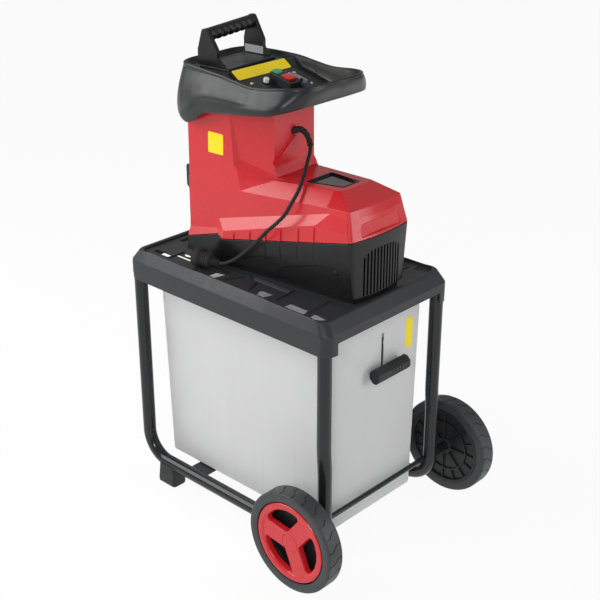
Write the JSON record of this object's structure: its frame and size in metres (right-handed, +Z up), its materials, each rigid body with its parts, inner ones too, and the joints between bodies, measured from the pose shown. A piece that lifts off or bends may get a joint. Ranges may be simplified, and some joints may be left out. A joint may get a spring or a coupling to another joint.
{
  "type": "garden shredder",
  "caption": "Wheeled garden shredder: red motor cover and feed tower on a tube frame, hopper with controls and pusher, slide-out collection box.",
  "frame": {"origin": "on the ground, under the middle of the overall box without the mains lead", "axes": "+Z up, X along the wheel axle, -Y towards the wheels, the motor and the lock lever"},
  "size_m": [0.488, 0.597, 0.9335],
  "materials": {
    "black_gloss_metal": "gloss black coating",
    "black_plastic": "moulded, matt",
    "steel": "plain steel",
    "tyre": "dark grey, moulded tread",
    "red_plastic": "gloss red",
    "grey_black_plastic": "satin, fine grain",
    "box_plastic": "pale, slightly translucent",
    "satin_black_plastic": "satin black",
    "green_button": "gloss",
    "red_button": "gloss",
    "smoke_plastic": "gloss grey",
    "clear_grey": "gloss, clear cap",
    "cord_rubber": "smooth black",
    "brass_pins": "plated",
    "winding": "varnished copper",
    "laminated_steel": "laminated",
    "cast_bracket": "as cast"
  },
  "bodies": {
    "base": {"left_frame_tube": "black_gloss_metal", "right_frame_tube": "black_gloss_metal", "front_strap": "black_gloss_metal", "rear_strap": "black_gloss_metal", "left_foot": "black_plastic", "right_foot": "black_plastic", "axle": "black_gloss_metal", "axle_spacers": "black_plastic", "axle_nuts": "steel", "platform": "grey_black_plastic", "leg_screws": "steel", "interlock_switch": "black_plastic", "lower_housing": "satin_black_plastic", "upper_cover": "red_plastic", "rear_cover": "satin_black_plastic", "hopper": "grey_black_plastic", "control_panel": "black_plastic", "switch_box": "black_plastic", "panel_screws": "steel", "bend_sleeve": "cord_rubber", "mains_cord": "cord_rubber", "plug_body": "cord_rubber", "plug_pins": "brass_pins", "feed_chute": "satin_black_plastic", "counter_blade": "steel", "stator": "laminated_steel", "stator_cradle": "cast_bracket", "front_bracket": "cast_bracket", "rear_bracket": "cast_bracket", "front_bearing": "steel", "rear_bearing": "steel"},
    "left_wheel": {"left_wheel_rim": "black_plastic", "left_tyre": "tyre", "left_wheel_cap": "red_plastic"},
    "right_wheel": {"right_wheel_rim": "black_plastic", "right_tyre": "tyre", "right_wheel_cap": "red_plastic"},
    "box": {"collection_box": "box_plastic"},
    "lock": {"lock_lever": "black_plastic", "lock_retainer": "black_plastic"},
    "pusher": {"pusher": "satin_black_plastic", "pusher_handle": "satin_black_plastic", "pusher_grip": "satin_black_plastic"},
    "rotor": {"motor_shaft": "steel", "rotor_core": "winding", "cooling_fan": "satin_black_plastic", "blade_disc": "steel", "blades": "steel", "blade_screws": "steel"},
    "start": {"start_button": "green_button"},
    "stop": {"stop_button": "red_button"},
    "reset": {"reset_button": "clear_grey"},
    "flap": {"switch_flap": "smoke_plastic"},
    "knob": {"lock_knob": "satin_black_plastic"}
  },
  "joints": [
    {"name": "left_wheel_spin", "type": "hinge", "parent": "base", "child": "left_wheel", "pos_m": [-0.226, -0.2005, 0.098], "axis": [1, 0, 0], "continuous": true},
    {"name": "right_wheel_spin", "type": "hinge", "parent": "base", "child": "right_wheel", "pos_m": [0.226, -0.2005, 0.098], "axis": [1, 0, 0], "continuous": true},
    {"name": "box_slide", "type": "slide", "parent": "base", "child": "box", "axis": [0, 1, 0], "range_m": [0, 0.43]},
    {"name": "lock_slide", "type": "slide", "parent": "box", "child": "lock", "axis": [0, 0, 1], "range_m": [0, 0.066]},
    {"name": "pusher_lift", "type": "slide", "parent": "base", "child": "pusher", "axis": [0, 0, 1], "range_m": [0, 0.09]},
    {"name": "cutter_spin", "type": "hinge", "parent": "base", "child": "rotor", "pos_m": [0, 0.0385, 0.588], "axis": [0, 1, 0], "continuous": true},
    {"name": "start_press", "type": "slide", "parent": "base", "child": "start", "axis": [0, 0.2147, -0.9767], "range_m": [0, 0.0025], "stiffness_N_per_m": 300, "springref_m": -0.001},
    {"name": "stop_press", "type": "slide", "parent": "base", "child": "stop", "axis": [0, 0.2147, -0.9767], "range_m": [0, 0.0025], "stiffness_N_per_m": 300, "springref_m": -0.001},
    {"name": "reset_press", "type": "slide", "parent": "base", "child": "reset", "axis": [0, 0.2147, -0.9767], "range_m": [0, 0.0022], "stiffness_N_per_m": 300, "springref_m": -0.001},
    {"name": "flap_hinge", "type": "hinge", "parent": "base", "child": "flap", "pos_m": [0.0145, 0.03414, 0.85375], "axis": [0, -0.9767, -0.2147], "range_deg": [0, 130]},
    {"name": "knob_turn", "type": "hinge", "parent": "base", "child": "knob", "pos_m": [0, 0.1985, 0.573], "axis": [0, 1, 0], "continuous": true}
  ]
}
